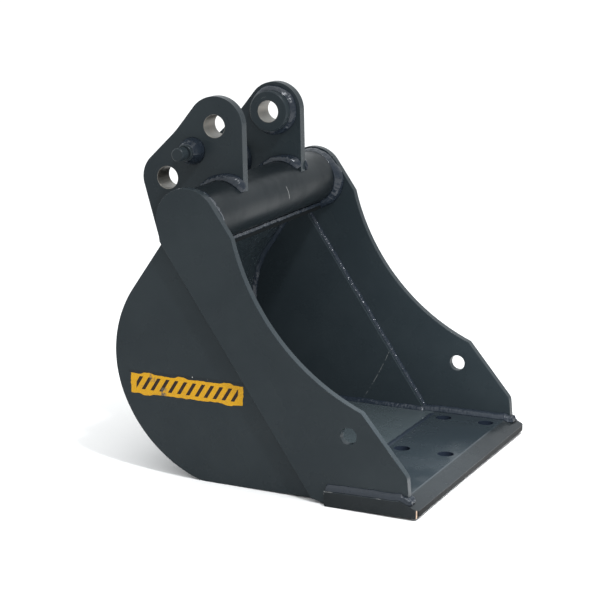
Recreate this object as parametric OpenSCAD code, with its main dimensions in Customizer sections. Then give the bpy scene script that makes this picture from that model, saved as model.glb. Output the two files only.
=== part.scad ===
// Digging bucket for a small excavator: a welded plate assembly with two pin bores.
// Row frame: origin at mid-width on the arm pin's axis, +X along the pins, mouth towards -Y, +Z up.
// Side profiles are drawn as [y, z] with z = 0 on the underside of the cutting edge, then placed
// in the row frame by placed(). The left side is the -X side.

/* [Widths] */
// Width of the cutting edge
edge_w = 450; // [440:1:470]
// Width over the side plates
body_w = 436; // [426:1:438]
// Clear width between the ears
ear_gap = 180; // [170:1:200]
// Clear width between the pin bosses
boss_gap = 140; // [120:1:150]

/* [Plates] */
// Thickness of the cutting edge
edge_t = 20; // [18:1:22]
// Thickness of the side plates
side_t = 12; // [10:0.5:14]
// Thickness of the cheek plates
cheek_t = 8; // [6:0.5:10]
// Thickness of the shell
shell_t = 8; // [6:0.5:8]
// Thickness of the ears
ear_t = 15; // [12:0.5:18]

/* [Pins] */
// Diameter of both pin bores
pin_d = 30; // [25:1:32]
// Outer diameter of the bushes
bush_d = 40; // [38:1:44]
// Outer diameter of the pin bosses
boss_d = 57; // [52:1:60]
// Distance between the two pin axes
pin_pitch = 100; // [96:1:104]
// Slope of the line from the arm pin down to the link pin
pin_slope = 47; // [45:1:49]

/* [Cross tube] */
// Outer diameter of the cross tube
tube_d = 76; // [74:1:78]
// Wall thickness of the cross tube
tube_wall = 8; // [5:0.5:10]

/* [Bolt holes] */
// Diameter of the holes for a bolt-on edge and for the side cutters
bolt_d = 22; // [18:1:24]
// Spacing of the hole columns along the cutting edge
bolt_pitch_x = 172; // [160:1:180]
// Spacing of the two hole rows
bolt_pitch_y = 63; // [55:1:65]

/* [Shell profile] */
// Radius of the cheek plate's rear edge
rear_r = 150.5; // [149:0.5:152]
// Radius of the cheek plate's heel
heel_r = 188; // [186:0.5:190]
// Radius of the bend between the sole and the heel
bend_r = 60; // [50:1:70]
// How far the shell is set in from the cheek plate's edge
shell_inset = 10; // [9:0.5:10]

/* [Hidden] */
$fn = 128;
paint = [0.2, 0.22, 0.24];
steel = [0.62, 0.62, 0.6];
sticker = [0.85, 0.64, 0.14];
overrun = 1;

half_edge = edge_w / 2;
side_out = body_w / 2;
side_in = side_out - side_t;
cheek_in = side_in - cheek_t;
ear_in = ear_gap / 2;
ear_out = ear_in + ear_t;
boss_in = boss_gap / 2;
pin_r = pin_d / 2;
bush_r = bush_d / 2;
boss_r = boss_d / 2;
tube_r = tube_d / 2;
bolt_r = bolt_d / 2;

// Pin axes and tube axis
arm_pin = [96.5, 458.5];
link_pin = arm_pin + pin_pitch * [cos(pin_slope), -sin(pin_slope)];
tube_at = [83, 350];

// Cutting edge: nose, start of its top bevel, rear face
nose_y = -243;
nose_h = 10;
bevel_y = -219.5;
edge_rear_y = -116;
bolt_rows_y = -170.5;

// Shell and cheek: a straight sole, the bend, the heel arc up to joint_a, the rear arc up to lean_a
// and a straight back
sole_from = [edge_rear_y, 2];
sole_a = 0.8;
sole_dir = [cos(sole_a), sin(sole_a)];
sole_up = [-sin(sole_a), cos(sole_a)];
rear_at = [40.5, 169.5];
joint_a = -20;
lean_a = 33.7;
heel_at = rear_at - (heel_r - rear_r) * [cos(joint_a), sin(joint_a)];
back_dir = [-sin(lean_a), cos(lean_a)];

// The bend touches the sole, and the heel arc from inside at the angle bend_a
bend_run = sqrt(pow(heel_r - bend_r, 2) - pow((heel_at - sole_from) * sole_up - bend_r, 2));
bend_at = sole_from + bend_r * sole_up + ((heel_at - sole_from) * sole_dir + bend_run) * sole_dir;
bend_a = atan2(bend_at.y - heel_at.y, bend_at.x - heel_at.x);
flange_z = tube_at.y - tube_r;
flange_y = 67;

// Side plate: mouth corner, brow and crown, then the seam with the cheek plate
chin = [-228.5, edge_t];
mouth_corner = [-225.5, 50];
jaw = [-162, 126];
brow = [19.5, 333];
crown_at = [83.5, 351];
crown_r = 42;
mouth_r = 309;
seam_top = [120.5, 321];
seam_low = [-96, 6];
side_hole = [-145.5, 94];
lap = 12;

// A polygon's corner on a round part of the same plate lies this far inside it, so that they fuse
cut_in = 0.05;

// Ears
ear_top_at = arm_pin - [0.5, 0];
ear_top_r = 39.5;
ear_heel_r = 36.5;
ear_front = [52.5, 352];
ear_waist = [153.5, 448.5];
ear_tail = [158, 237];

// Weld runs: leg lengths, and the angle between the end of one stretch and the start of the next
bead = 8;
ear_bead = 10;
wide_bead = 11;
run_gap = 0.15;

// Pin keeper stud, midway between the two pin axes on the left ear
keeper_at = (arm_pin + link_pin) / 2 + [-2.5, 2];
keeper_r = 11;
keeper_l = 46;

// ---------- helpers ----------

// Unit vector from a to b
function unit(a, b) = (b - a) / norm(b - a);

// Polygon points with corner i rounded to radii[i], in steps pieces
function rounded(points, radii, steps = 10) = [
  for (i = [0 : len(points) - 1])
    let (p = points[i],
         u = unit(p, points[(i + len(points) - 1) % len(points)]),
         v = unit(p, points[(i + 1) % len(points)]),
         half = acos(u * v) / 2,
         c = p + radii[i] / sin(half) * unit([0, 0], u + v),
         from = atan2(-v.y - u.y, -v.x - u.x),
         turn = (90 - half) * sign(u.x * v.y - u.y * v.x))
      if (radii[i] == 0) p
      else each [for (k = [0 : steps]) let (a = from + turn * (1 - 2 * k / steps))
        c + radii[i] * [cos(a), sin(a)]]
];

// Point where a line from p touches a circle about c of radius r, on the left of p to c
function touch(p, c, r) =
  let (d = c - p, a = atan2(d.y, d.x) + asin(r / norm(d)))
  p + sqrt(d * d - r * r) * [cos(a), sin(a)];

// From profile coordinates to the row frame
module placed() translate([0, -arm_pin.x, -arm_pin.y]) children();

// Mirrors what is drawn for the right side when the side is -1
module on_side(side) mirror([side < 0 ? 1 : 0, 0, 0]) children();

// Extrudes a [y, z] profile from x0 to x1
module across(x0, x1)
  translate([x0, 0, 0]) rotate([90, 0, 90]) linear_extrude(x1 - x0) children();

// Turns a [radius, x] profile about the X direction through the point c, from x0 on
module turned(c, x0, from = 0, turn = 360)
  translate([x0, c.x, c.y]) rotate([90, 0, 90]) rotate([0, 0, from])
    rotate_extrude(angle = turn) children();

// Straight weld run from a to b beside a wall at x; up is the leg to the right of a to b
module line_weld(a, b, x, up, out) {
  d = b - a;
  translate([x, a.x, a.y]) rotate([atan2(-d.x, d.y), 0, 0]) linear_extrude(norm(d))
    polygon([[0, 0], [out, 0], [0, up]]);
}

// Curved weld run about c on a surface of radius r, beside a wall at x
module arc_weld(c, r, x, from, to, up, out)
  turned(c, x, from, to - from) polygon([[r, 0], [r + up, 0], [r, out]]);

// Disc about the X direction through c, from x0 to x1
module disc(c, r, x0, x1) turned(c, x0) square([r, x1 - x0]);

// Points along an arc about c between two angles, leaving out the first ones
function arc(c, r, from, to, skip, steps = 24) =
  [for (k = [skip : steps]) let (a = from + (to - from) * k / steps) c + r * [cos(a), sin(a)]];

// Points of the shell profile set in by a distance: along the sole, and along the straight back
function sole_point(inset, y) =
  let (p = sole_from + inset * sole_up) p + (y - p.x) / sole_dir.x * sole_dir;
function back_foot(inset) = rear_at + (rear_r - inset) * [cos(lean_a), sin(lean_a)];
function back_point(inset, z) =
  let (p = back_foot(inset)) p + (z - p.y) / back_dir.y * back_dir;

// Area inside the shell profile, open to front_y and up to top_z
module shell_area(inset, front_y, top_z) polygon(concat(
  [[front_y, top_z], sole_point(inset, front_y)],
  arc(bend_at, bend_r - inset, sole_a - 90, bend_a, 0),
  arc(heel_at, heel_r - inset, bend_a, joint_a, 1),
  arc(rear_at, rear_r - inset, joint_a, lean_a, 1),
  [back_point(inset, top_z)]
));

// ---------- plates ----------

module cutting_edge() color(paint) placed() difference() {
  intersection() {
    across(-half_edge, half_edge) polygon([
      [nose_y + 2, 0], [nose_y, 2], [nose_y, nose_h], [bevel_y, edge_t],
      [edge_rear_y, edge_t], [edge_rear_y, 2], [edge_rear_y - 2, 0]
    ]);
    linear_extrude(edge_t) polygon(rounded(
      [[-half_edge, nose_y], [half_edge, nose_y], [half_edge, edge_rear_y], [-half_edge, edge_rear_y]],
      [6, 6, 0, 0]
    ));
  }
  for (x = [-1, 0, 1], row = [-0.5, 0.5])
    translate([x * bolt_pitch_x, bolt_rows_y + row * bolt_pitch_y, -overrun])
      cylinder(h = edge_t + 2 * overrun, r = bolt_r);
}

// Centre of the mouth's concave edge, which passes through the jaw and the brow
mouth_at = (jaw + brow) / 2 + sqrt(pow(mouth_r, 2) - pow(norm(brow - jaw) / 2, 2))
  * [-(brow - jaw).y, (brow - jaw).x] / norm(brow - jaw);

// Side plate's outline from x0 to x1, with its round crown and its hollow mouth edge
module side_body(x0, x1) difference() {
  union() {
    disc(crown_at, crown_r, x0, x1);
    across(x0, x1) polygon(rounded(
      [chin, mouth_corner, jaw, brow, touch(brow, crown_at, crown_r - cut_in),
       crown_at + [crown_r - cut_in, 0], seam_top, seam_low, [-112, 1], [edge_rear_y, 1],
       [edge_rear_y, edge_t]],
      [0, 14, 0, 0, 0, 0, 0, 0, 0, 0, 0]
    ));
  }
  disc(mouth_at, mouth_r, x0 - overrun, x1 + overrun);
}

module side_plate(side) color(paint) placed() on_side(side) difference() {
  side_body(side_in, side_out);
  disc(side_hole, bolt_r, side_in - overrun, side_out + overrun);
}

// The cheek plate laps the inside of the side plate by this much ahead of the seam
lap_shift = lap * [-(seam_top - seam_low).y, (seam_top - seam_low).x] / norm(seam_top - seam_low);
function lap_point(z) =
  let (d = seam_top - seam_low, p = seam_low + lap_shift) p + (z - p.y) / d.y * d;

module cheek_plate(side) color(paint) placed() on_side(side) difference() {
  across(cheek_in, side_in) intersection() {
    shell_area(0, edge_rear_y, seam_top.y);
    polygon([
      [edge_rear_y, 0], [2 * heel_r, 0], [2 * heel_r, seam_top.y], lap_point(seam_top.y),
      lap_point(edge_t), [edge_rear_y, edge_t]
    ]);
  }
  disc(tube_at, tube_r + wide_bead, cheek_in - overrun, side_in + overrun);
}

// The shell folds forward at its top to run under the cross tube
module shell() color(paint) placed() across(-cheek_in, cheek_in) difference() {
  shell_area(shell_inset, edge_rear_y, flange_z);
  shell_area(shell_inset + shell_t, edge_rear_y - overrun, flange_z - shell_t);
  translate([edge_rear_y - overrun, flange_z - shell_t - overrun])
    square([flange_y - edge_rear_y + overrun, shell_t + 2 * overrun]);
}

module cross_tube() color(paint) placed()
  turned(tube_at, -side_in) translate([tube_r - tube_wall, 0]) square([tube_wall, 2 * side_in]);

// ---------- ears and pin bores ----------

// Point just inside the rim of a circle about c, at an angle
function within(c, r, a) = c + (r - cut_in) * [cos(a), sin(a)];

module ear(side) color(paint) placed() on_side(side) difference() {
  union() {
    disc(ear_top_at, ear_top_r, ear_in, ear_out);
    disc(link_pin, ear_heel_r, ear_in, ear_out);
    across(ear_in, ear_out) polygon(rounded(
      [ear_front, within(ear_top_at, ear_top_r, 180), ear_top_at, within(ear_top_at, ear_top_r, 40),
       ear_waist, within(link_pin, ear_heel_r, 45), within(link_pin, ear_heel_r, -17), ear_tail],
      [0, 0, 0, 0, 150, 0, 0, 0]
    ));
  }
  disc(tube_at, tube_r, ear_in - overrun, ear_out + overrun);
  across(ear_in - overrun, ear_out + overrun) shell_area(shell_inset, edge_rear_y, flange_z);
  for (pin = [arm_pin, link_pin])
    disc(pin, bush_r, ear_in - overrun, ear_out + overrun);
}

module boss(pin, side) color(paint) placed() on_side(side)
  turned(pin, boss_in) translate([bush_r, 0]) polygon([
    [0, 0], [boss_r - bush_r - 1.5, 0], [boss_r - bush_r, 1.5],
    [boss_r - bush_r, ear_in - boss_in], [0, ear_in - boss_in]
  ]);

module bush(pin, side) color(steel) placed() on_side(side)
  turned(pin, boss_in) translate([pin_r, 0]) square([bush_r - pin_r, ear_out - boss_in]);

// ---------- small parts ----------

// Turned stud with a neck under its head
module keeper_stud() color(paint) placed() on_side(-1) turned(keeper_at, ear_out)
  polygon([
    [0, 0], [keeper_r, 0], [keeper_r, 25], [keeper_r - 1, 26], [6.5, 26], [6.5, 29],
    [8.2, 29], [9, 29.8], [9, keeper_l - 1.5], [7.5, keeper_l], [0, keeper_l]
  ]);

module side_decal() color(sticker) placed() on_side(-1) across(side_in, side_in + 0.3)
  polygon(rounded([[4, 111], [168, 111], [170, 142], [6, 141]], [3, 3, 3, 3]));

// ---------- weld runs ----------

module tube_end_weld(side) color(paint) placed() on_side(side) intersection() {
  arc_weld(tube_at, tube_r, side_in, 0, 360, wide_bead, -cheek_t);
  side_body(cheek_in - overrun, side_in);
}

// One run on each face of the ear: over the tube, then down the shell's back
module ear_weld(side) color(paint) placed() on_side(side)
  for (face = [[ear_in, -1], [ear_out, 1]]) {
    arc_weld(tube_at, tube_r, face.x, -24, 139, ear_bead, face.y * ear_bead);
    line_weld(back_foot(shell_inset), back_point(shell_inset, flange_z), face.x, bead, face.y * bead);
  }

module boss_weld(pin, side) color(paint) placed() on_side(side)
  arc_weld(pin, boss_r, ear_in, 0, 360, 6.5, -6.5);

module keeper_weld() color(paint) placed() on_side(-1) turned(keeper_at, ear_out)
  polygon([[keeper_r, 0], [19, 0], [14.5, 13], [12.5, 21], [keeper_r, 22]]);

// Inside: along the cheek plate's front edge, on the side plate
module lap_weld(side) color(paint) placed() on_side(side)
  line_weld(lap_point(tube_at.y - 50), lap_point(edge_t + 10), side_in, 7, -7);

// Outside: along the side plate's rear edge, on the cheek plate
module seam_weld(side) color(paint) placed() on_side(side)
  line_weld(seam_low, seam_top, side_in, 6, 6);

// Weld laid in five stretches round the shell profile, beside the cheek plate's inner face
module shell_run(inset, up, front_y, top_z) {
  bend_foot = bend_at - (bend_r - inset) * sole_up;
  line_weld(sole_point(inset, front_y), bend_foot, cheek_in, up, -bead);
  arc_weld(
    bend_at, bend_r - inset, cheek_in, sole_a - 90 + run_gap, bend_a - run_gap, up, -bead
  );
  arc_weld(heel_at, heel_r - inset, cheek_in, bend_a + run_gap, joint_a - run_gap, up, -bead);
  arc_weld(rear_at, rear_r - inset, cheek_in, joint_a + run_gap, lean_a - run_gap, up, -bead);
  line_weld(back_foot(inset), back_point(inset, top_z), cheek_in, up, -bead);
}

// Inside: round the whole corner between shell and cheek plate
module corner_weld(side) color(paint) placed() on_side(side)
  shell_run(shell_inset + shell_t, -bead, lap_point(edge_t).x, flange_z - shell_t);

// Outside: in the step between the shell's outer face and the cheek plate's edge
module rim_weld(side) color(paint) placed() on_side(side)
  shell_run(shell_inset, bead, edge_rear_y + bead, flange_z);

// Inside: along the side plate on top of the cutting edge
module lip_weld(side) color(paint) placed() on_side(side)
  line_weld([lap_point(edge_t).x, edge_t], [chin.x + 3, edge_t], side_in, bead + 1, -bead - 1);

// Outside: on the ledge of the cutting edge beside the side plate
module lip_end_weld(side) color(paint) placed() on_side(side)
  line_weld([edge_rear_y, edge_t], [bevel_y, edge_t], side_out, bead + 1, half_edge - side_out - 0.5);

// Flush seam between the shell and the cutting edge, across the floor
module floor_seam_weld() color(paint) placed() across(-cheek_in + bead, cheek_in - bead)
  translate([edge_rear_y, edge_t])
    polygon([[-4, 0], [0, 0], [4, 4 * tan(sole_a)], [2.5, 1.2], [-2.5, 1.2]]);

module floor_root_weld() color(paint) placed() across(-cheek_in, cheek_in)
  translate(sole_point(shell_inset, edge_rear_y)) polygon([[0, 0], [0, -bead], [bead, 0]]);

// In the corner between the tube and the front end of the shell's flange
module tube_front_weld() color(paint) placed() across(-cheek_in, cheek_in) difference() {
  polygon([
    [flange_y, flange_z - 6], [flange_y + 5, flange_z], [flange_y, flange_z + 9],
    [flange_y - 7, flange_z + 7]
  ]);
  translate(tube_at) circle(tube_r);
}

// Fills the groove between the tube and the shell's fold, in the three gaps that the ears leave
module tube_back_weld() color(paint) placed()
  for (gap = [[-cheek_in, -ear_out], [-ear_in, ear_in], [ear_out, cheek_in]])
    across(gap.x, gap.y) difference() {
      polygon([[tube_at.x, flange_z], back_point(shell_inset, flange_z), [118, 334], [tube_at.x, 334]]);
      translate(tube_at) circle(tube_r);
    }

cutting_edge();
side_plate(-1);  // side_plate_left
side_plate(1);  // side_plate_right
cheek_plate(-1);  // cheek_plate_left
cheek_plate(1);  // cheek_plate_right
shell();
cross_tube();
ear(-1);  // ear_left
ear(1);  // ear_right
boss(arm_pin, -1);  // arm_boss_left
boss(arm_pin, 1);  // arm_boss_right
boss(link_pin, -1);  // link_boss_left
boss(link_pin, 1);  // link_boss_right
bush(arm_pin, -1);  // arm_bush_left
bush(arm_pin, 1);  // arm_bush_right
bush(link_pin, -1);  // link_bush_left
bush(link_pin, 1);  // link_bush_right
keeper_stud();
side_decal();
tube_end_weld(-1);  // tube_end_weld_left
tube_end_weld(1);  // tube_end_weld_right
ear_weld(-1);  // ear_weld_left
ear_weld(1);  // ear_weld_right
boss_weld(arm_pin, -1);  // arm_boss_weld_left
boss_weld(arm_pin, 1);  // arm_boss_weld_right
boss_weld(link_pin, -1);  // link_boss_weld_left
boss_weld(link_pin, 1);  // link_boss_weld_right
keeper_weld();
lap_weld(-1);  // lap_weld_left
lap_weld(1);  // lap_weld_right
seam_weld(-1);  // seam_weld_left
seam_weld(1);  // seam_weld_right
corner_weld(-1);  // corner_weld_left
corner_weld(1);  // corner_weld_right
rim_weld(-1);  // rim_weld_left
rim_weld(1);  // rim_weld_right
lip_weld(-1);  // lip_weld_left
lip_weld(1);  // lip_weld_right
lip_end_weld(-1);  // lip_end_weld_left
lip_end_weld(1);  // lip_end_weld_right
floor_seam_weld();
floor_root_weld();
tube_front_weld();
tube_back_weld();
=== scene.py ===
import math
from collections import namedtuple

import bmesh
import bpy
from mathutils import Matrix, Vector, noise


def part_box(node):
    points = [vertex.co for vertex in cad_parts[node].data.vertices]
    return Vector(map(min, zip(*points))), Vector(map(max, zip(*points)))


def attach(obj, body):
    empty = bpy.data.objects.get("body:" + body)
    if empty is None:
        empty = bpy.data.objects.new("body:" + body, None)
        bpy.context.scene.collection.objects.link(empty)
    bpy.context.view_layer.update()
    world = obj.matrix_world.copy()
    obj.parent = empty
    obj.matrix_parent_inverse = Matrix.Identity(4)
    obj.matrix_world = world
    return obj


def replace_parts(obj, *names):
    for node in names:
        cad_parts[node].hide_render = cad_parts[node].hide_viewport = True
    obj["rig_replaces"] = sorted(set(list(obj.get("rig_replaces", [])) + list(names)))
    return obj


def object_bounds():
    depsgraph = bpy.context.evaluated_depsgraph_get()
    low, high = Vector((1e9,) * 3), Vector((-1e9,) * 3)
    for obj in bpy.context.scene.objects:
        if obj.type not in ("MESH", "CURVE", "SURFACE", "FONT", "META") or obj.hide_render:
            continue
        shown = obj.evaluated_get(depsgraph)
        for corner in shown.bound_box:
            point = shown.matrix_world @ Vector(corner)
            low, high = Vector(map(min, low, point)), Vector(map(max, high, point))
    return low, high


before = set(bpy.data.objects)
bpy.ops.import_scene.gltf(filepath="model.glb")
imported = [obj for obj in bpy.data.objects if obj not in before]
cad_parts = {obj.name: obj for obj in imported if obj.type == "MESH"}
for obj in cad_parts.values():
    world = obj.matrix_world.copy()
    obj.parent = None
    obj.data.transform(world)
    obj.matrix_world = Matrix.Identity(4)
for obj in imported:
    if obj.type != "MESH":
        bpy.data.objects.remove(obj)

cad_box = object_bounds()

# Everything is in metres in the row frame: origin on the arm pin's axis, mouth towards -Y, +Z up.
MM = 0.001
X = Vector((1, 0, 0))
Y = Vector((0, 1, 0))
Z = Vector((0, 0, 1))
LEFT, RIGHT = -1, 1
SIDE_NAMES = {LEFT: "left", RIGHT: "right"}

# ---------------------------------------------------------------- sizes

# The shell's shape, which its box can't tell. The cheek plate's edge is a flat sole, a bend, a
# heel arc, a rear arc and a straight back, and the shell lies SHELL_INSET inside it. SOLE_A is the
# sole's slope, and the other angles are where the rear arc starts and ends, in degrees.
REAR_R = 150.5 * MM
HEEL_R = 188 * MM
BEND_R = 60 * MM
SHELL_INSET = 10 * MM
SHELL_T = 8 * MM
SOLE_A = 0.8
JOINT_A = -20
LEAN_A = 33.7
REAR_RISE = 169.5 * MM

# Slope in degrees of the seam between the two plates of a side
SEAM_SLOPE = 55.5

# Radii of the pin bores, the keeper stud and the bolt holes. The bolt holes stand in three columns
# and two rows, and the rows' middle is BOLT_ROWS_IN behind the front of the cutting edge.
PIN_R = 15 * MM
STUD_R = 11 * MM
BOLT_R = 11 * MM
BOLT_PITCH_X = 172 * MM
BOLT_PITCH_Y = 63 * MM
BOLT_ROWS_IN = 72.5 * MM

# Leg lengths of the weld beads
BEAD = 8 * MM
WIDE_BEAD = 11 * MM
CROWN_BEAD = 3.5 * MM
COLLAR_BEAD = 15 * MM
CORNER_BEAD = 6 * MM
SEAM_LEG = 6 * MM
LAP_LEG = 7 * MM
LAP_BEAD = 0.6 * LAP_LEG
BOSS_LEGS = (7 * MM, 9 * MM)
NOSE_BEAD = 5 * MM

# How steeply the cutting edge's bevel falls towards its front
BEVEL_FALL = 0.42

shell_low, shell_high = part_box("shell")
tube_low, tube_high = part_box("cross_tube")
plate_low, plate_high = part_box("side_plate_right")
cheek_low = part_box("cheek_plate_right")[0]
ear_low, ear_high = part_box("ear_right")
edge_low, edge_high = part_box("cutting_edge")
boss_low, boss_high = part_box("arm_boss_right")
link_low, link_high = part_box("link_boss_right")
bush_low, bush_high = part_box("arm_bush_right")
stud_low, stud_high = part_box("keeper_stud")
lip_end_low, lip_end_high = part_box("lip_end_weld_right")
lip_weld_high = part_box("lip_weld_right")[1]

cheek_in = shell_high.x
side_in = plate_low.x
side_out = plate_high.x
ear_in = ear_low.x
ear_out = ear_high.x
boss_r = (boss_high.z - boss_low.z) / 2
bush_r = (bush_high.z - bush_low.z) / 2
tube_at = (tube_low + tube_high) / 2
tube_r = (tube_high.z - tube_low.z) / 2
link_at = (link_low + link_high) / 2
stud_at = (stud_low + stud_high) / 2
arm_at = Vector((0, 0, 0))
bolt_rows_y = edge_low.y + BOLT_ROWS_IN


def direction(angle):
    """Unit vector at an angle in degrees, measured in the side view from +Y towards +Z."""
    return Vector((0, math.cos(math.radians(angle)), math.sin(math.radians(angle))))


# Centres of the profile's arcs. The heel arc meets the rear arc without a corner, and the bend
# touches both the sole and the heel arc, which it leaves at the angle bend_a.
rear_at = Vector((0, shell_high.y - (REAR_R - SHELL_INSET), edge_low.z + REAR_RISE))
heel_at = rear_at - (HEEL_R - REAR_R) * direction(JOINT_A)
sole_from = Vector((0, edge_high.y, cheek_low.z))
sole_dir = direction(SOLE_A)
sole_up = direction(SOLE_A + 90)
bend_rise = (heel_at - sole_from).dot(sole_up) - BEND_R
bend_run = (heel_at - sole_from).dot(sole_dir) + math.sqrt((HEEL_R - BEND_R) ** 2 - bend_rise**2)
bend_at = sole_from + BEND_R * sole_up + bend_run * sole_dir
bend_a = math.degrees(math.atan2(bend_at.z - heel_at.z, bend_at.y - heel_at.y))


def sole_point(inset, y):
    """Point on the sole line, set in from the cheek plate's edge, at y."""
    start = sole_from + inset * sole_up
    return start + (y - start.y) / sole_dir.y * sole_dir


def back_point(inset, z):
    """Point of the shell profile's straight back, set in from the cheek plate's edge, at height z."""
    foot = rear_at + (REAR_R - inset) * direction(LEAN_A)
    up = direction(LEAN_A + 90)
    return foot + (z - foot.z) / up.z * up


def back_foot_z(inset):
    """Height at which the shell profile's rear arc turns into its straight back."""
    return rear_at.z + (REAR_R - inset) * math.sin(math.radians(LEAN_A))


# ---------------------------------------------------------------- node helpers


class Nodes:
    """Short forms for building one material's node tree."""

    def __init__(self, name):
        self.material = bpy.data.materials.new(name)
        self.material.use_nodes = True
        self.tree = self.material.node_tree
        self.shader = self.tree.nodes["Principled BSDF"]
        coordinate = self.tree.nodes.new("ShaderNodeTexCoord")
        self.place = coordinate.outputs["Object"]
        self.xyz = None

    def feed(self, socket, value):
        """Links the value to a socket, or sets it there when it is a plain one."""
        if isinstance(value, bpy.types.NodeSocket):
            self.tree.links.new(value, socket)
        else:
            socket.default_value = value

    def math(self, operation, a, b=0.0, c=0.0):
        """The result of one arithmetic node."""
        node = self.tree.nodes.new("ShaderNodeMath")
        node.operation = operation
        for socket, value in zip(node.inputs, (a, b, c)):
            self.feed(socket, value)
        return node.outputs[0]

    def times(self, a, b):
        """The product of two values."""
        return self.math("MULTIPLY", a, b)

    def axis(self, letter):
        """One coordinate of the place that is shaded."""
        if self.xyz is None:
            self.xyz = self.tree.nodes.new("ShaderNodeSeparateXYZ")
            self.feed(self.xyz.inputs[0], self.place)
        return self.xyz.outputs[letter]

    def stretched(self, scale):
        """The place that is shaded, scaled along each axis."""
        node = self.tree.nodes.new("ShaderNodeVectorMath")
        node.operation = "MULTIPLY"
        self.feed(node.inputs[0], self.place)
        node.inputs[1].default_value = scale
        return node.outputs[0]

    def noise(self, scale, detail=3.0, roughness=0.5, place=None):
        """Fractal noise around 0.5, with scale features per metre."""
        node = self.tree.nodes.new("ShaderNodeTexNoise")
        self.feed(node.inputs["Vector"], place or self.place)
        node.inputs["Scale"].default_value = scale
        node.inputs["Detail"].default_value = detail
        node.inputs["Roughness"].default_value = roughness
        return node.outputs[0]

    def ramp(self, value, low, high, out_low=0.0, out_high=1.0):
        """Takes low..high smoothly to out_low..out_high, and stays level beyond them."""
        node = self.tree.nodes.new("ShaderNodeMapRange")
        node.interpolation_type = "SMOOTHSTEP"
        self.feed(node.inputs["Value"], value)
        limits = {"From Min": low, "From Max": high, "To Min": out_low, "To Max": out_high}
        for name, number in limits.items():
            node.inputs[name].default_value = number
        return node.outputs[0]

    def mix(self, factor, a, b):
        """Blends two colours, from a at factor 0 to b at factor 1."""
        node = self.tree.nodes.new("ShaderNodeMix")
        node.data_type = "RGBA"
        self.feed(node.inputs[0], factor)
        for socket, value in zip((node.inputs[6], node.inputs[7]), (a, b)):
            self.feed(socket, value if isinstance(value, bpy.types.NodeSocket) else (*value, 1))
        return node.outputs[2]

    def bump(self, height, distance, strength=1.0, normal=None):
        """A normal as on relief whose height of 1 stands distance metres proud."""
        node = self.tree.nodes.new("ShaderNodeBump")
        node.inputs["Strength"].default_value = strength
        node.inputs["Distance"].default_value = distance
        self.feed(node.inputs["Height"], height)
        if normal is not None:
            self.feed(node.inputs["Normal"], normal)
        return node.outputs[0]

    def edges(self, radius):
        """0 on flat faces and rising to 1 at a sharp edge."""
        soft = self.tree.nodes.new("ShaderNodeBevel")
        soft.samples = 6
        soft.inputs["Radius"].default_value = radius
        true = self.tree.nodes.new("ShaderNodeNewGeometry")
        dot = self.tree.nodes.new("ShaderNodeVectorMath")
        dot.operation = "DOT_PRODUCT"
        self.feed(dot.inputs[0], soft.outputs[0])
        self.feed(dot.inputs[1], true.outputs["Normal"])
        return self.ramp(dot.outputs["Value"], 0.995, 0.86)

    def distance_yz(self, centre):
        """Distance from a line through centre along X."""
        dy = self.math("SUBTRACT", self.axis("Y"), centre.y)
        dz = self.math("SUBTRACT", self.axis("Z"), centre.z)
        squares = self.math("ADD", self.times(dy, dy), self.times(dz, dz))
        return self.math("SQRT", squares)

    def distance_xy(self, centre):
        """Distance from a line through centre along Z."""
        dx = self.math("SUBTRACT", self.axis("X"), centre.x)
        dy = self.math("SUBTRACT", self.axis("Y"), centre.y)
        squares = self.math("ADD", self.times(dx, dx), self.times(dy, dy))
        return self.math("SQRT", squares)

    def between(self, value, low, high, soft):
        """1 where value lies between low and high, fading out over soft."""
        rise = self.ramp(value, low - soft, low)
        fall = self.ramp(value, high, high + soft, 1.0, 0.0)
        return self.times(rise, fall)

    def set(self, **sockets):
        """Feeds the shader's inputs, which are named with _ for a space."""
        for name, value in sockets.items():
            self.feed(self.shader.inputs[name.replace("_", " ")], value)


# ---------------------------------------------------------------- materials

# Base colours, linear RGB
PAINT_DARK = (0.0163, 0.0218, 0.0250)
PAINT_DUSTY = (0.0250, 0.0318, 0.0350)
PAINT_WORN = (0.055, 0.068, 0.072)
# Thick paint, which also stands for painted shade inside the cutting edge's bolt holes
THICK_PAINT_AND_SHADE = (0.011, 0.015, 0.023)
# Grime, which also stands for painted shade on the cutting edge's nose and under the tube
GRIME_AND_SHADE = (0.006, 0.006, 0.006)
# Dust, which also stands for painted shade on the cutting edge below its top
EDGE_DUST_AND_SHADE = (0.013, 0.012, 0.0115)
PRIMER = (0.60, 0.44, 0.33)
CHIP = (0.55, 0.55, 0.53)
STEEL = (0.24, 0.23, 0.21)
STEEL_STAIN = (0.30, 0.27, 0.23)
YELLOW = (0.52, 0.27, 0.010)
YELLOW_DIRTY = (0.40, 0.20, 0.03)
STICKER_INK = (0.022, 0.014, 0.012)
SMEAR = (0.10, 0.085, 0.07)
FLOOR_TONES = ((0.94, 0.92, 0.90), (0.96, 0.94, 0.92))

# Specular level of the sprayed paint
GLAZE = 0.12


def paint_base(nodes, dust=0.5, gloss=0.26, glaze=GLAZE):
    """Sprayed slate paint: cloudy dust, patchy gloss, orange peel over slightly wavy rolled plate."""
    clouds = nodes.ramp(nodes.noise(9.0, 5.0, 0.6), 0.35, 0.72)
    colour = nodes.mix(nodes.times(clouds, dust), PAINT_DARK, PAINT_DUSTY)
    patches = nodes.ramp(nodes.noise(17.0, 4.0, 0.55), 0.38, 0.66)
    rough = nodes.ramp(patches, 0.0, 1.0, gloss, gloss + 0.12)
    waves = nodes.bump(nodes.noise(24.0, 2.0), 1.0 * MM, 0.3)
    peel = nodes.bump(nodes.noise(620.0, 2.0), 0.05 * MM, 0.4, waves)
    nodes.shader.inputs["Specular IOR Level"].default_value = glaze
    return colour, rough, peel


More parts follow.
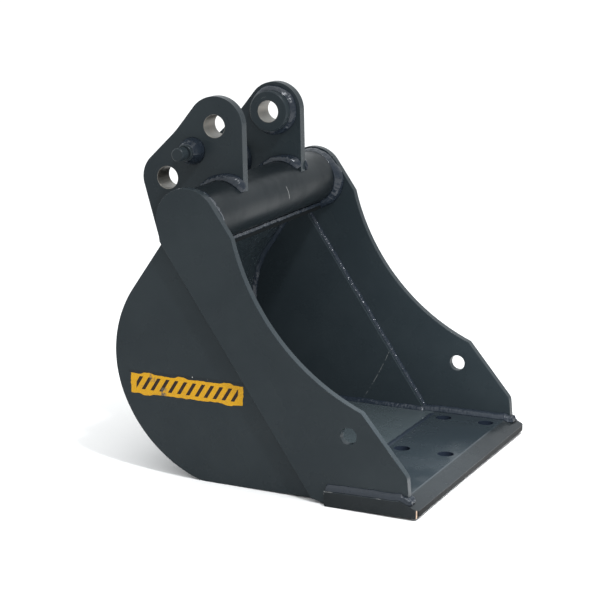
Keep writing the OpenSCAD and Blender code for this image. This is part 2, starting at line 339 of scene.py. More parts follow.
def scratch(nodes, centre, radius, z_low, z_high, x_low, width=0.35 * MM):
    """A thin curved scratch on faces beyond x_low: part of a circle about a line along X."""
    off = nodes.math("ABSOLUTE", nodes.math("SUBTRACT", nodes.distance_yz(centre), radius))
    line = nodes.ramp(off, width, 2.2 * width, 1.0, 0.0)
    span = nodes.between(nodes.axis("Z"), z_low, z_high, 12 * MM)
    there = nodes.ramp(nodes.axis("X"), x_low - 1 * MM, x_low)
    broken = nodes.ramp(nodes.noise(160.0), 0.40, 0.56)
    return nodes.times(nodes.times(line, span), nodes.times(there, broken))


def plate_material(name, dust=0.5, gloss=0.26, tone=1.0, wear=0.35, bores=(), marks=None):
    """Painted plate with thin paint along its edges, though not round the bores, and a few chips.
    Tone below 1 darkens the paint all over as painted shade, and marks adds what only one plate has."""
    nodes = Nodes(name)
    colour, rough, normal = paint_base(nodes, dust, gloss)
    edge = nodes.edges(1.6 * MM)
    for bore in bores:
        clear = nodes.ramp(nodes.distance_yz(bore), bush_r + 2 * MM, bush_r + 3 * MM)
        edge = nodes.times(edge, clear)
    thin = nodes.ramp(nodes.noise(60.0, 4.0), 0.30, 0.62, 0.25 * wear, wear)
    colour = nodes.mix(nodes.times(edge, thin), colour, PAINT_WORN)
    rubbed = nodes.ramp(nodes.math("ADD", edge, nodes.noise(190.0, 3.0)), 1.25, 1.4)
    sparse = nodes.ramp(nodes.noise(31.0, 2.0), 0.66, 0.70, 0.0, min(1.0, 2 * wear))
    colour = nodes.mix(nodes.times(rubbed, sparse), colour, CHIP)
    # Painted shade: tone below 1 darkens the whole paint towards black
    if tone < 1:
        colour = nodes.mix(1 - tone, colour, (0, 0, 0))
    if marks is not None:
        colour = marks(nodes, colour)
    nodes.set(Base_Color=colour, Roughness=rough, Normal=normal)
    return nodes.material


def cheek_marks(nodes, colour):
    """A darker line with white specks above the sticker outside, and one long scratch inside."""
    low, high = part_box("side_decal")
    along = nodes.between(nodes.axis("Y"), low.y, high.y, 4 * MM)
    level = nodes.between(nodes.axis("Z"), high.z - 1 * MM, high.z + 1 * MM, 2 * MM)
    outside = nodes.ramp(nodes.axis("X"), high.x + 0.5 * MM, high.x + 1 * MM, 1.0, 0.0)
    band = nodes.times(nodes.times(along, level), outside)
    colour = nodes.mix(nodes.times(band, 0.3), colour, GRIME_AND_SHADE)
    specks = nodes.ramp(nodes.noise(260.0, 2.0), 0.72, 0.75)
    colour = nodes.mix(nodes.times(band, specks), colour, CHIP)
    centre = Vector((0, 297 * MM, -174 * MM))
    radius = 474 * MM
    line = scratch(nodes, centre, radius, -420 * MM, -285 * MM, cheek_in)
    return nodes.mix(nodes.times(line, 0.12), colour, CHIP)


def edge_marks(nodes, colour):
    """Thick paint on top, dust and painted shade below, painted shade in the bolt holes and on the
    nose, primer at the left front corner.
    """
    top = nodes.ramp(nodes.axis("Z"), edge_high.z - 1 * MM, edge_high.z - 0.5 * MM)
    colour = nodes.mix(nodes.times(top, 0.12), colour, THICK_PAINT_AND_SHADE)
    # Dust and painted shade darken every face below the top
    below = nodes.math("SUBTRACT", 1.0, top)
    colour = nodes.mix(nodes.times(below, 0.45), colour, EDGE_DUST_AND_SHADE)
    # Painted shade inside the bolt holes, in the thick paint colour
    for column in (-1, 0, 1):
        for row in (-1, 1):
            centre = Vector((column * BOLT_PITCH_X, bolt_rows_y + row * BOLT_PITCH_Y / 2, 0))
            away = nodes.distance_xy(centre)
            hole_shade = nodes.ramp(away, BOLT_R + 0.2 * MM, BOLT_R + 0.6 * MM, 1.0, 0.0)
            colour = nodes.mix(hole_shade, colour, THICK_PAINT_AND_SHADE)
    # Painted shade on the nose's front face, which also loses its gloss
    front = nodes.ramp(nodes.axis("Y"), edge_low.y + 2 * MM, edge_low.y + 3 * MM, 1.0, 0.0)
    under = nodes.ramp(nodes.axis("Z"), edge_low.z + 9 * MM, edge_low.z + 10.4 * MM, 1.0, 0.0)
    nose = nodes.times(nodes.times(front, under), 0.9)
    colour = nodes.mix(nose, colour, GRIME_AND_SHADE)
    glaze = nodes.ramp(top, 0.0, 1.0, 0.06, 0.22)
    nodes.set(Specular_IOR_Level=nodes.times(glaze, nodes.math("SUBTRACT", 1.0, nose)))
    corner = Vector((edge_low.x, edge_low.y, 0))
    spot = nodes.ramp(nodes.distance_xy(corner), 2.5 * MM, 2.8 * MM, 1.0, 0.0)
    flaked = nodes.ramp(nodes.noise(150.0), 0.3, 0.45)
    return nodes.mix(nodes.times(spot, flaked), colour, PRIMER)


def shell_marks(nodes, colour):
    """The floor is polished by soil; the front end of the top under the tube gets painted shade."""
    floor_part = nodes.ramp(nodes.axis("Z"), shell_low.z + 12 * MM, shell_low.z + 40 * MM, 1.0, 0.0)
    colour = nodes.mix(nodes.times(floor_part, 0.5), colour, PAINT_WORN)
    # Painted shade on the front end of the shell's top, under the tube, which also loses its gloss
    top = nodes.ramp(nodes.axis("Z"), shell_high.z - 10 * MM, shell_high.z - 9 * MM)
    front = nodes.ramp(nodes.axis("Y"), tube_at.y - 10 * MM, tube_at.y, 1.0, 0.0)
    under_tube_shade = nodes.times(top, front)
    glaze = nodes.ramp(floor_part, 0.0, 1.0, GLAZE, 0.4)
    nodes.set(Specular_IOR_Level=nodes.times(glaze, nodes.math("SUBTRACT", 1.0, under_tube_shade)))
    return nodes.mix(nodes.times(under_tube_shade, 0.8), colour, GRIME_AND_SHADE)


def tube_marks(nodes, colour):
    """A short slanting scratch on the front of the tube, between the ears."""
    drop = nodes.math("SUBTRACT", tube_at.z + 12 * MM, nodes.axis("Z"))
    centre_line = nodes.math("ADD", nodes.times(drop, 0.4), 24 * MM)
    off = nodes.math("ABSOLUTE", nodes.math("SUBTRACT", nodes.axis("X"), centre_line))
    line = nodes.ramp(off, 0.5 * MM, 1.0 * MM, 1.0, 0.0)
    span = nodes.between(nodes.axis("Z"), tube_at.z - 3 * MM, tube_at.z + 12 * MM, 3 * MM)
    front = nodes.ramp(nodes.axis("Y"), tube_at.y - 10 * MM, tube_at.y, 1.0, 0.0)
    mark = nodes.times(nodes.times(line, span), front)
    return nodes.mix(nodes.times(mark, 0.25), colour, CHIP)


def weld_material(name, gloss=0.14, crust=0.45):
    """The same paint lying thick and glossy over a weld bead, with a crust of that height in mm."""
    nodes = Nodes(name)
    colour, rough, normal = paint_base(nodes, 0.0, gloss, 0.4)
    fine = nodes.bump(nodes.noise(330.0, 3.0), crust * MM, 0.8, normal)
    nodes.set(Base_Color=nodes.mix(0.7, colour, THICK_PAINT_AND_SHADE), Roughness=rough, Normal=fine)
    return nodes.material


def bush_material(name, pin_at):
    """Bare reamed bore with fine turning rings; the end faces are painted over."""
    nodes = Nodes(name)
    paint = paint_base(nodes)[0]
    radius = nodes.distance_yz(pin_at)
    grain = nodes.noise(1.0, 4.0, 0.6, nodes.stretched((2600.0, 60.0, 60.0)))
    stain = nodes.ramp(nodes.noise(120.0, 4.0, 0.6), 0.40, 0.70)
    metal = nodes.mix(nodes.times(stain, 0.45), STEEL, STEEL_STAIN)
    painted = nodes.ramp(radius, PIN_R + 0.3 * MM, PIN_R + 0.7 * MM)
    nodes.set(
        Base_Color=nodes.mix(painted, metal, paint),
        Metallic=nodes.ramp(painted, 0.0, 1.0, 0.9, 0.0),
        Roughness=nodes.ramp(grain, 0.3, 0.7, 0.38, 0.52),
        Normal=nodes.bump(grain, 0.03 * MM, 0.6),
    )
    return nodes.material


def sticker_material(name, low, high):
    """Yellow vinyl with slanted dark bars inside a plain border, scuffed and slightly wrinkled."""
    nodes = Nodes(name)
    length = high.y - low.y
    height = high.z - low.z
    across = nodes.math("DIVIDE", nodes.math("SUBTRACT", nodes.axis("Y"), low.y), length)
    climb = height * 0.075
    level = nodes.math("SUBTRACT", nodes.axis("Z"), nodes.times(across, climb))
    up = nodes.math("DIVIDE", nodes.math("SUBTRACT", level, low.z), height)
    slant = nodes.math("ADD", nodes.axis("Y"), nodes.times(nodes.axis("Z"), 0.6))
    bar_pitch = 13 * MM
    wave = nodes.math("FRACT", nodes.math("DIVIDE", slant, bar_pitch))
    bars = nodes.between(wave, 0.26, 0.64, 0.03)
    inside = nodes.times(
        nodes.between(up, 0.20, 0.74, 0.015), nodes.between(across, 0.055, 0.94, 0.004)
    )
    ink = nodes.times(bars, inside)
    scuffs = nodes.ramp(nodes.noise(1.0, 5.0, 0.7, nodes.stretched((1.0, 70.0, 190.0))), 0.60, 0.70)
    dirt = nodes.ramp(nodes.noise(55.0, 5.0, 0.6), 0.35, 0.75, 0.0, 0.28)
    colour = nodes.mix(dirt, YELLOW, YELLOW_DIRTY)
    colour = nodes.mix(ink, colour, STICKER_INK)
    colour = nodes.mix(nodes.times(scuffs, 0.3), colour, SMEAR)
    for along, low_up, high_up in ((0.80, 0.62, 1.1), (0.70, -0.1, 0.30)):
        smear = nodes.times(
            nodes.between(across, along - 0.012, along + 0.012, 0.02),
            nodes.between(up, low_up, high_up, 0.12),
        )
        torn = nodes.ramp(nodes.noise(140.0, 3.0), 0.36, 0.55)
        colour = nodes.mix(nodes.times(smear, torn), colour, SMEAR)
    wrinkle = nodes.bump(nodes.noise(110.0, 3.0), 0.5 * MM, 0.5)
    nodes.shader.inputs["Specular IOR Level"].default_value = GLAZE
    nodes.set(Base_Color=colour, Roughness=nodes.ramp(dirt, 0.0, 0.3, 0.36, 0.5), Normal=wrinkle)
    return nodes.material


def floor_material(name):
    """Matt white paper, very slightly uneven in tone."""
    nodes = Nodes(name)
    tone = nodes.ramp(nodes.noise(0.8, 2.0), 0.3, 0.7)
    nodes.set(Base_Color=nodes.mix(tone, *FLOOR_TONES))
    nodes.shader.inputs["Roughness"].default_value = 0.85
    nodes.shader.inputs["Specular IOR Level"].default_value = 0.1
    return nodes.material


# ---------------------------------------------------------------- plates and turned parts

# Faces that meet at more than this angle in degrees have a sharp edge between them
SHARP = 28

# Radius of the worn front corners of the cutting edge
WORN_R = 2.6 * MM


def shaded(mesh, angle=SHARP):
    """Smooth shading, with edges sharper than the angle in degrees kept sharp."""
    for polygon in mesh.polygons:
        polygon.use_smooth = True
    mesh.set_sharp_from_angle(angle=math.radians(angle))


def keep_piece(piece, slot, *nodes):
    """Makes the piece a part of the bucket in place of the CAD nodes."""
    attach(piece, "root")
    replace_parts(piece, *nodes)
    return piece


def link_mesh(name, bm, material):
    """An object in the scene from a finished bmesh, which is freed."""
    mesh = bpy.data.meshes.new(name)
    bm.to_mesh(mesh)
    bm.free()
    piece = bpy.data.objects.new(name, mesh)
    mesh.materials.append(material)
    bpy.context.scene.collection.objects.link(piece)
    return piece


def round_bush(place):
    """Is this on the rim of a bush, whose joint with the plate is filled with paint?"""
    return any(abs((place.yz - pin.yz).length - bush_r) < 0.5 * MM for pin in (arm_at, link_at))


def eased_copy(node, material, slot, width, worn_y=None):
    """The CAD node's shape with its sharp edges eased, as grinding and paint leave them. Long edges
    that lie in front of worn_y are rounded more."""
    bm = bmesh.new()
    bm.from_mesh(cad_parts[node].data)
    bmesh.ops.remove_doubles(bm, verts=bm.verts, dist=1e-6)
    flat = math.radians(0.2)
    long_edge = 0.3
    bmesh.ops.dissolve_limit(bm, angle_limit=flat, verts=bm.verts, edges=bm.edges)
    if worn_y is not None:
        worn = [
            edge for edge in bm.edges
            if all(vert.co.y < worn_y for vert in edge.verts) and edge.calc_length() > long_edge
        ]
        bmesh.ops.bevel(bm, geom=worn, offset=WORN_R, segments=4, profile=0.5, affect="EDGES")
    weights = bm.edges.layers.float.new("bevel_weight_edge")
    for edge in bm.edges:
        sharp = edge.is_manifold and edge.calc_face_angle() > math.radians(SHARP)
        filled = any(round_bush(vert.co) for vert in edge.verts)
        edge[weights] = 1.0 if sharp and not filled else 0.0
    piece = link_mesh(node + "_piece", bm, material)
    shaded(piece.data)
    ease = piece.modifiers.new("ease", "BEVEL")
    ease.width = width
    ease.segments = 2
    ease.limit_method = "WEIGHT"
    ease.harden_normals = True
    return keep_piece(piece, slot, node)


# ---------------------------------------------------------------- weld beads

# A place along a run: the corner that the weld fills, the directions and lengths of its two legs,
# and how lumpy the bead is there
Place = namedtuple("Place", "corner a b leg_a leg_b rough")

# Length of one step along a bead, points across it, and how far its toes sink into the plates
STEP = 0.9 * MM
ACROSS = 9
SINK = 0.25 * MM


def leg(value, at):
    """A leg's length, which is fixed or changes along the run."""
    return value(at) if callable(value) else value


def straight(p, q, a, b, leg_a, leg_b, rough=1.0):
    """A straight run from p to q, with its legs along a and b."""
    count = max(2, round((q - p).length / STEP))
    return [
        Place(p.lerp(q, i / count), a, b, leg(leg_a, i / count), leg(leg_b, i / count), rough)
        for i in range(count + 1)
    ]


def curved(centre, radius, x, start, end, outward, along, leg_a, leg_b, rough=1.0):
    """A run on a round surface about a line along X; leg a is radial and leg b points along X."""
    count = max(8, round(math.radians(abs(end - start)) * radius / STEP))
    places = []
    for i in range(count + 1):
        angle = start + (end - start) * i / count
        radial = direction(angle)
        corner = Vector((x, centre.y, centre.z)) + radius * radial
        legs = (leg(leg_a, angle), leg(leg_b, angle))
        places.append(Place(corner, outward * radial, along * X, *legs, rough))
    return places


def turn(place, a, b, steps=8):
    """Turns both legs on the spot, for a run that goes round an outside corner."""
    last = place._replace(a=a, b=b)
    return [
        last._replace(
            a=place.a.lerp(a, i / steps).normalized(),
            b=place.b.lerp(b, i / steps).normalized(),
        )
        for i in range(1, steps + 1)
    ]


def ripple(phase):
    """Height of overlapping weld ripples, from 0 in a valley to 1 on a crest."""
    return abs(math.sin(math.pi * phase)) ** 0.7


def weld(
    name, places, nodes, material,
    pitch=3.4, height=0.34, lumps=0.5, taper=(5, 5), crown=0.16, closed=False,
):
    """Sweeps a crowned, rippled bead along the places. The ripples' pitch and height, the lumps and
    the tapers at the two ends are in mm. The crown is in parts of the shorter leg."""
    travelled = [0.0]
    for before, here in zip(places, places[1:]):
        shift = (here.corner - before.corner).length
        turned = (here.a - before.a).length * here.leg_a * 0.6
        travelled.append(travelled[-1] + shift + turned)
    total = travelled[-1]
    bm = bmesh.new()
    rings = []
    for place, s in zip(places, travelled):
        ends = 1.0
        if not closed:
            for distance, reach in ((s, taper[0] * MM), (total - s, taper[1] * MM)):
                near = min(1.0, distance / reach + 0.06)
                ends *= math.sqrt(1 - (1 - near) ** 2)
        wander = noise.noise(place.corner * 70) * 0.13
        leg_a = place.leg_a * (1 + wander) * (0.25 + 0.75 * ends)
        leg_b = place.leg_b * (1 - wander) * (0.25 + 0.75 * ends)
        small = min(leg_a, leg_b)
        out = (place.a * leg_b + place.b * leg_a).normalized()
        ring = []
        for k in range(ACROSS):
            v = k / (ACROSS - 1)
            dome = math.sin(math.pi * v) ** 1.4
            bowed = 0.9 * (2 * v - 1) ** 2
            uneven = 0.5 * noise.noise(place.corner * 160)
            wave = ripple(s / (pitch * MM) + bowed + uneven)
            lump = noise.noise(place.corner * 210 + Vector((v * 2.1, 0, 7)))
            rise = crown * small * dome * ends
            rise += place.rough * dome ** 0.7 * (height * (wave - 0.6) + lumps * lump) * MM * ends
            toe = -SINK * (1 - dome)
            base = place.corner + place.a * leg_a * (1 - v) + place.b * leg_b * v
            ring.append(bm.verts.new(base + out * (rise + toe)))
        ring.append(bm.verts.new(place.corner - out * SINK))
        rings.append(ring)
    pairs = list(zip(rings, rings[1:]))
    if closed:
        for vert in rings.pop():
            bm.verts.remove(vert)
        pairs = list(zip(rings, rings[1:] + rings[:1]))
    for one, two in pairs:
        for k in range(ACROSS + 1):
            m = (k + 1) % (ACROSS + 1)
            bm.faces.new((one[k], one[m], two[m], two[k]))
    if not closed:
        bm.faces.new(rings[0])
        bm.faces.new(list(reversed(rings[-1])))
    bmesh.ops.remove_doubles(bm, verts=bm.verts, dist=0.01 * MM)
    bmesh.ops.recalc_face_normals(bm, faces=bm.faces)
    piece = link_mesh(name, bm, material)
    for polygon in piece.data.polygons:
        polygon.use_smooth = True
    return keep_piece(piece, "weld_paint", *nodes)


def joined(name, runs):
    """Several runs of one CAD node as one piece."""
    first = runs[0]
    bm = bmesh.new()
    replaced = set()
    for run in runs:
        bm.from_mesh(run.data)
        replaced.update(run["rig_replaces"])
    material = first.data.materials[0]
    for run in runs:
        mesh = run.data
        bpy.data.objects.remove(run)
        bpy.data.meshes.remove(mesh)
    return keep_piece(link_mesh(name, bm, material), "weld_paint", *sorted(replaced))


def slanted_ends(node, leg_length, facing):
    """Lower and upper end of a run along the seam, from its box. facing is 1 where the run's leg
    faces the rear, and -1 where it faces the mouth."""
    low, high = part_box(node)
    side = leg_length * direction(SEAM_SLOPE).z
    rise = leg_length * direction(SEAM_SLOPE).y
    if facing > 0:
        return Vector((0, low.y, low.z + rise)), Vector((0, high.y - side, high.z))
    return Vector((0, low.y + side, low.z)), Vector((0, high.y, high.z - rise))


def tube_end_leg(angle):
    """The bead round a tube end is wide below and in front, and narrow where the side plate's crown
    comes close. It widens from 148 to 180 degrees and narrows again from 300 to 330."""
    turned = (angle + 360) % 360
    rise = min(1.0, max(0.0, (turned - 148) / 32))
    fall = min(1.0, max(0.0, (330 - turned) / 30))
    return CROWN_BEAD + (WIDE_BEAD - CROWN_BEAD) * min(rise, fall)


def saddle_leg(angle):
    """An ear's saddle bead swells over the tube's front shoulder."""
    return BEAD * (0.9 + 0.6 * math.exp(-(((angle - 120) / 30) ** 2)))


def at(x, point):
    """The point moved along X to x."""
    return Vector((x, point.y, point.z))


def make_side_welds(side, material, smooth):
    """All the runs of one side of the bucket."""
    end = SIDE_NAMES[side]
    wall = side * side_in
    weld(f"tube_end_weld_{end}_piece",
         curved(tube_at, tube_r, wall, 90, 450, 1, -side, tube_end_leg, COLLAR_BEAD),
         [f"tube_end_weld_{end}"], material, pitch=4.2, height=0.4, lumps=1.2, crown=0.26, closed=True)
    make_plate_welds(side, material)
    for run, inset, outward, leg_length in (
        ("corner_weld", SHELL_INSET + SHELL_T, -1, CORNER_BEAD), ("rim_weld", SHELL_INSET, 1, BEAD)
    ):
        make_profile_weld(side, run, inset, outward, leg_length, material)
    make_ear_weld(side, material)
    for pin, centre in (("arm", arm_at), ("link", link_at)):
        weld(f"{pin}_boss_weld_{end}_piece",
             curved(centre, boss_r, side * ear_in, 0, 360, 1, -side, *BOSS_LEGS),
             [f"{pin}_boss_weld_{end}"], material,
             pitch=4.4, height=0.3, lumps=1.1, crown=0.12, closed=True)
    make_lip_weld(side, smooth)


def make_plate_welds(side, material):
    """The two runs along the seam between a side's plates, one inside and one outside."""
    end = SIDE_NAMES[side]
    wall = side * side_in
    slope = direction(SEAM_SLOPE)
    rearward = direction(SEAM_SLOPE - 90)
    low, high = slanted_ends(f"lap_weld_{end}", LAP_LEG, -1)
    weld(f"lap_weld_{end}_piece",
         straight(at(wall, high) + 6 * MM * slope, at(wall, low) - 11 * MM * slope,
                  -rearward, -side * X, LAP_BEAD, LAP_BEAD),
         [f"lap_weld_{end}"], material, pitch=3.8, height=0.6, lumps=1.0, crown=0.1)
    low, high = slanted_ends(f"seam_weld_{end}", SEAM_LEG, 1)
    weld(f"seam_weld_{end}_piece",
         straight(at(wall, high), at(wall, low), rearward, side * X, SEAM_LEG, SEAM_LEG),
         [f"seam_weld_{end}"], material)


def make_profile_weld(side, run, inset, outward, leg_length, material):
    """A run between the shell and a cheek plate, along the whole profile at the given inset. Its
    leg on the cheek plate points away from the shell: outward is 1 outside it and -1 inside."""
    node = f"{run}_{SIDE_NAMES[side]}"
    cheek = side * cheek_in
    low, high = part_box(node)
    legs = (leg_length, leg_length)
    bend_foot = bend_at - (BEND_R - inset) * sole_up
    places = straight(at(cheek, sole_point(inset, low.y)), at(cheek, bend_foot),
                      -outward * sole_up, -side * X, *legs)
    for centre, radius, start, stop in (
        (bend_at, BEND_R, SOLE_A - 90, bend_a),
        (heel_at, HEEL_R, bend_a, JOINT_A),
        (rear_at, REAR_R, JOINT_A, LEAN_A),
    ):
        places += curved(centre, radius - inset, cheek, start, stop, outward, -side, *legs)[1:]
    places += straight(places[-1].corner, at(cheek, back_point(inset, high.z)),
                       outward * direction(LEAN_A), -side * X, *legs)[1:]
    weld(f"{node}_piece", places, [node], material, height=0.25, lumps=0.5, crown=0.08)


def make_ear_weld(side, material):
    """The runs on both faces of an ear: over the tube, down to the shell and along its back."""
    node = f"ear_weld_{SIDE_NAMES[side]}"
    back_top = back_point(SHELL_INSET, shell_high.z)
    back_low = back_point(SHELL_INSET, back_foot_z(SHELL_INSET))
    back_out = direction(LEAN_A)
    groove_a = -26
    runs = []
    for face, wall, along, front_a in (("inner", ear_in, -side, 132), ("outer", ear_out, side, 141)):
        x = side * wall
        places = curved(tube_at, tube_r, x, front_a, groove_a, 1, along, saddle_leg, saddle_leg, 1.2)
        for start, stop in ((places[-1].corner, at(x, back_top)), (at(x, back_top), at(x, back_low))):
            places += straight(start, stop, back_out, along * X, BEAD, BEAD)[1:]
        runs.append(weld(f"{node}_{face}", places, [node], material,
                         pitch=4.4, height=0.4, lumps=1.2, taper=(16, 6), crown=0.24))
    joined(f"{node}_piece", runs)


def make_lip_weld(side, material):
    """One bead round the foot of the side plate: forward along its outer face, round its nose and
    back along its inner face. drop is how far the cutting edge's bevel has fallen at the nose."""
    end = SIDE_NAMES[side]
    top = edge_high.z
    bevel_y = lip_end_low.y
    nose_y = plate_low.y
    drop = (bevel_y - nose_y) * BEVEL_FALL
    outer_x = side * side_out
    inner_x = side * side_in
    ledge = edge_high.x - side_out - 0.8 * MM
    rear = Vector((outer_x, lip_end_high.y, top))
    brow = Vector((outer_x, bevel_y, top))
    nose = Vector((outer_x, nose_y, top - drop))
    inside_nose = Vector((inner_x, nose_y, top - drop))
    inside_brow = Vector((inner_x, bevel_y, top))
    inside_rear = Vector((inner_x, lip_weld_high.y + BEAD, top))
    places = straight(rear, brow, side * X, Z, ledge, BEAD + 1 * MM, 0.35)
    places += straight(brow, nose, side * X, Z, ledge, BEAD, 1.6)[1:]
    places += turn(places[-1], -Y, Z)
    places += straight(nose, inside_nose, -Y, Z, NOSE_BEAD, BEAD, 1.6)[1:]
    places += turn(places[-1], -side * X, Z)
    places += straight(inside_nose, inside_brow, -side * X, Z, BEAD, BEAD + 1 * MM, 1.6)[1:]
    places += straight(inside_brow, inside_rear, -side * X, Z, BEAD + 1 * MM, BEAD, 0.45)[1:]
    weld(f"lip_weld_{end}_piece", places, [f"lip_weld_{end}", f"lip_end_weld_{end}"], material,
         pitch=4.6, height=0.5, lumps=1.0, taper=(3, 4), crown=0.14)


def make_floor_welds(material, smooth):
    """The two runs where the shell meets the cutting edge: a flat seam inside, a fillet below."""
    low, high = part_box("floor_seam_weld")
    flat = Vector((0, low.y, edge_high.z))
    weld("floor_seam_weld_piece",
         straight(flat + low.x * X, flat + high.x * X, Y, Z, high.y - low.y, 0.5 * MM, 0.5),
         ["floor_seam_weld"], smooth, pitch=4.5, height=0.5, lumps=0.8, crown=1.0)
    low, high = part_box("floor_root_weld")
    root = Vector((0, edge_high.y, high.z))
    weld("floor_root_weld_piece",
         straight(root + low.x * X, root + high.x * X, Y, -Z, BEAD, BEAD),
         ["floor_root_weld"], material)


def make_tube_welds(material):
    """The run below the tube in front, and the three runs in the groove behind it that the ears
    leave between them."""
    low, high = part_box("tube_front_weld")
    front = Vector((0, low.y + 7.5 * MM, shell_high.z))
    up_tube = Vector((0, -0.45, 0.89))
    down_shell = Vector((0, -0.05, -1))
    weld("tube_front_weld_piece",
         straight(front + low.x * X, front + high.x * X, up_tube, down_shell, 3.5 * MM, 3 * MM, 1.3),
         ["tube_front_weld"], material, pitch=3.6, height=0.6, lumps=1.2, crown=0.4)
    back_top = back_point(SHELL_INSET, shell_high.z)
    groove_top = tube_at + tube_r * direction(-25)
    groove = (groove_top + back_top) / 2 - 7 * MM * Y
    up = groove_top - groove
    down = back_top - groove
    legs = (up.normalized(), down.normalized(), up.length, down.length)
    runs = []
    for index, (start, stop) in enumerate(
        ((-cheek_in, -ear_out), (-ear_in, ear_in), (ear_out, cheek_in))
    ):
        runs.append(weld(f"tube_back_weld_{index}",
                         straight(groove + start * X, groove + stop * X, *legs, 1.3),
                         ["tube_back_weld"], material, pitch=4.4, height=0.6, lumps=1.2, crown=0.3))
    joined("tube_back_weld_piece", runs)


def make_keeper_weld(material):
    """The ring round the foot of the pin keeper's stud, on the left ear."""
    low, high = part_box("keeper_weld")
    reach = (high.z - low.z) / 2 - STUD_R
    weld("keeper_weld_piece",
         curved(stud_at, STUD_R, -ear_out, 0, 360, 1, -1, reach, high.x - low.x, 1.0),
         ["keeper_weld"], material, pitch=5.5, height=0.3, lumps=1.4, crown=0.05, closed=True)


# ---------------------------------------------------------------- sticker

STICKER_T = 0.25 * MM


def ragged(t, seed, tabs=()):
    """How far the sticker's cut edge wanders at t along it, from about -1 to 1. Tabs are places
    where it stands out further."""
    slow = noise.noise(Vector((t * 7.0, seed, 0)))
    quick = noise.noise(Vector((t * 23.0, seed, 3)))
    out = sum(math.exp(-(((t - tab) / 0.045) ** 4)) for tab in tabs)
    return 0.5 * slow + 0.4 * quick + out


def make_sticker():
    """A thin film with a wandering cut edge, pressed on the left cheek plate."""
    low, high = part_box("side_decal")
    columns, rows = 140, 20
    edge = 2.3 * MM
    face = high.x - STICKER_T
    slope = 1 * MM
    bm = bmesh.new()
    grid = []
    for i in range(columns + 1):
        t = i / columns
        bottom = low.z + edge * (1 - ragged(t, 1.0, (0.13, 0.86)))
        top = high.z - slope * (1 - t) - edge * (1 - ragged(t, 9.0, (0.14, 0.55, 0.85)))
        column = []
        for j in range(rows + 1):
            v = j / rows
            end_shift = edge * ragged(v * 0.4, 4.0) * (1 - 2 * t) * abs(1 - 2 * t) ** 8
            y = low.y + edge + (high.y - low.y - 2 * edge) * t + end_shift + 2 * MM * v * (t - 0.5)
            z = bottom + (top - bottom) * v
            lift = 0.05 * MM * noise.noise(Vector((y * 90, z * 160, 2)))
            y = min(max(y, low.y), high.y)
            z = min(max(z, low.z), high.z)
            column.append(bm.verts.new((face - lift, y, z)))
        grid.append(column)
    for one, two in zip(grid, grid[1:]):
        for j in range(rows):
            bm.faces.new((one[j], one[j + 1], two[j + 1], two[j]))
    rim = bmesh.ops.extrude_face_region(bm, geom=bm.faces[:])
    for item in rim["geom"]:
        if isinstance(item, bmesh.types.BMVert):
            item.co.x = high.x
    bmesh.ops.recalc_face_normals(bm, faces=bm.faces)
    piece = link_mesh("side_decal_piece", bm, sticker_material("sticker", low, high))
    shaded(piece.data, 40)
    keep_piece(piece, "sticker", "side_decal")


# ---------------------------------------------------------------- the object

plate_paint = plate_material("plate_paint", wear=0.2)
ear_paint = plate_material("ear_paint", wear=0.15, bores=(arm_at, link_at))
edge_paint = plate_material("edge_paint", dust=0.5, gloss=0.16, wear=0.3, marks=edge_marks)
cheek_paint = plate_material("cheek_paint", dust=0.4, marks=cheek_marks)
shell_paint = plate_material("shell_paint", dust=0.7, gloss=0.2, marks=shell_marks)
# The tube's paint is darkened to tone 0.46 as painted shade
tube_paint = plate_material("tube_paint", dust=0.4, gloss=0.32, tone=0.46, marks=tube_marks)
boss_paint = plate_material("boss_paint", dust=0.4, gloss=0.24, wear=0.1)
weld_paint = weld_material("weld_paint")
smooth_weld_paint = weld_material("smooth_weld_paint", gloss=0.2, crust=0.12)

# Each plate's paint, and how wide its eased edges are
PLATES = {
    "cutting_edge": (edge_paint, 1.0 * MM),
    "shell": (shell_paint, 0.8 * MM),
    "cross_tube": (tube_paint, 0.5 * MM),
    "keeper_stud": (boss_paint, 0.5 * MM),
}
for name in SIDE_NAMES.values():
    PLATES[f"side_plate_{name}"] = (plate_paint, 0.9 * MM)
    PLATES[f"cheek_plate_{name}"] = (cheek_paint, 0.8 * MM)
    PLATES[f"ear_{name}"] = (ear_paint, 1.8 * MM)
    for pin in ("arm", "link"):
        PLATES[f"{pin}_boss_{name}"] = (boss_paint, 0.6 * MM)
worn_y = edge_low.y + 3 * MM
for node, (material, width) in PLATES.items():
    eased_copy(node, material, "paint", width, worn_y)

for pin, centre in (("arm", arm_at), ("link", link_at)):
    bore = bush_material(f"{pin}_bore", centre)
    for name in SIDE_NAMES.values():
        eased_copy(f"{pin}_bush_{name}", bore, "bare_steel", 0.4 * MM)

for side in (LEFT, RIGHT):
    make_side_welds(side, weld_paint, smooth_weld_paint)
make_floor_welds(weld_paint, smooth_weld_paint)
make_tube_welds(weld_paint)
make_keeper_weld(weld_paint)
make_sticker()

# ---------------------------------------------------------------- floor, light and camera

SKY_COLOUR = (0.93, 0.97, 1.0, 1)
LAMP_COLOUR = (0.93, 0.96, 1.0)
FLOOR_SIZE = 60.0
CAMERA_PLACE = Vector((-2.6086, -1.1796, 0.3743))
CAMERA_TARGET = Vector((-0.0352, -0.0965, -0.2383))
CAMERA_ROLL = math.radians(0.77)
FOCAL_LENGTH = 126.8
SENSOR_WIDTH = 36


def make_floor():
    """The bucket stands on the rear of its cutting edge and on the end of its sole, which is a
    little higher, so the floor leans by that much about the edge's rear corner."""
    sole_end = bend_at - BEND_R * sole_up
    lean = math.atan2(sole_end.z - edge_low.z, sole_end.y - edge_high.y)
    bpy.ops.mesh.primitive_plane_add(size=FLOOR_SIZE)
    floor = bpy.context.object
    floor.name = "studio_floor"
    floor.rotation_euler = (lean, 0, 0)
    floor.location = (0, edge_high.y, edge_low.z)
    floor.data.materials.append(floor_material("floor"))


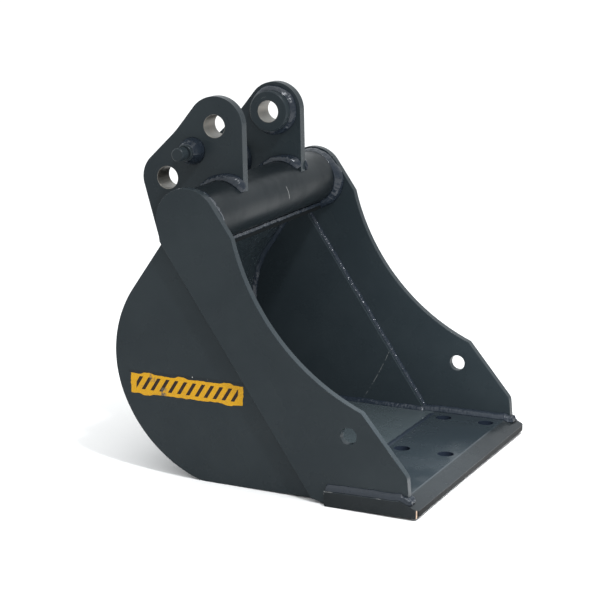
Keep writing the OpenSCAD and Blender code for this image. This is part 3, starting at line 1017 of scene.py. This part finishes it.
def make_sky(horizon, zenith, front):
    """A soft sky whose strength rises evenly from the horizon to straight above, and falls to the
    part front of that straight ahead of the bucket."""
    world = bpy.data.worlds.new("studio")
    bpy.context.scene.world = world
    world.use_nodes = True
    nodes = world.node_tree.nodes
    links = world.node_tree.links
    gaze = nodes.new("ShaderNodeTexCoord")
    split = nodes.new("ShaderNodeSeparateXYZ")
    strength = nodes.new("ShaderNodeMapRange")
    strength.inputs["To Min"].default_value = horizon
    strength.inputs["To Max"].default_value = zenith
    ahead = nodes.new("ShaderNodeMapRange")
    ahead.inputs["From Min"].default_value = -1
    ahead.inputs["From Max"].default_value = 0
    ahead.inputs["To Min"].default_value = front
    both = nodes.new("ShaderNodeMath")
    both.operation = "MULTIPLY"
    sky = nodes["Background"]
    sky.inputs["Color"].default_value = SKY_COLOUR
    links.new(gaze.outputs["Generated"], split.inputs[0])
    links.new(split.outputs["Z"], strength.inputs["Value"])
    links.new(split.outputs["Y"], ahead.inputs["Value"])
    links.new(strength.outputs[0], both.inputs[0])
    links.new(ahead.outputs[0], both.inputs[1])
    links.new(both.outputs[0], sky.inputs["Strength"])


def add_light(lamp, power, rays):
    """Puts a lamp in the scene, turned so that it shines along rays. Returns its object."""
    lamp.energy = power
    holder = bpy.data.objects.new(lamp.name, lamp)
    holder.rotation_euler = Vector(rays).to_track_quat("-Z", "Y").to_euler()
    bpy.context.scene.collection.objects.link(holder)
    return holder


def sun_light(name, rays, spread, power):
    """A distant lamp whose disc in the sky is spread degrees wide."""
    lamp = bpy.data.lights.new(name, "SUN")
    lamp.angle = math.radians(spread)
    return add_light(lamp, power, rays)


def round_light(name, place, target, size, power):
    """A round lamp at place that shines at target."""
    lamp = bpy.data.lights.new(name, "AREA")
    lamp.shape = "DISK"
    lamp.size = size
    lamp.color = LAMP_COLOUR
    holder = add_light(lamp, power, target - place)
    holder.location = place
    return holder


def make_lights():
    """A broad sun overhead, a small key lamp in front on the left, and a weak lamp that stands for
    light thrown into the mouth, which neither the camera nor a reflection shows."""
    sun_light("overhead", rays=(-0.08, 0.28, -1.0), spread=50, power=0.45)
    middle = (cad_box[0] + cad_box[1]) / 2
    above_left = middle + Vector((-0.95, -0.95, 2.0))
    round_light("key", above_left, middle, size=0.2, power=32)
    before_mouth = Vector((-0.08, edge_low.y - 0.06, -0.22))
    fill = round_light("mouth_card", before_mouth, heel_at - 0.1 * Z, size=0.3, power=2.3)
    fill.visible_camera = False
    fill.visible_glossy = False


def make_camera():
    """A long lens in front on the left, a little above the bucket."""
    camera = bpy.data.cameras.new("camera")
    camera.lens = FOCAL_LENGTH
    camera.sensor_width = SENSOR_WIDTH
    holder = bpy.data.objects.new("camera", camera)
    aim = (CAMERA_TARGET - CAMERA_PLACE).to_track_quat("-Z", "Y").to_matrix()
    holder.matrix_world = (
        Matrix.Translation(CAMERA_PLACE) @ aim.to_4x4() @ Matrix.Rotation(CAMERA_ROLL, 4, "Z")
    )
    bpy.context.scene.collection.objects.link(holder)
    bpy.context.scene.camera = holder


make_floor()
make_sky(horizon=0.95, zenith=1.5, front=0.4)
make_lights()
make_camera()
bpy.context.scene.view_settings.view_transform = "Standard"
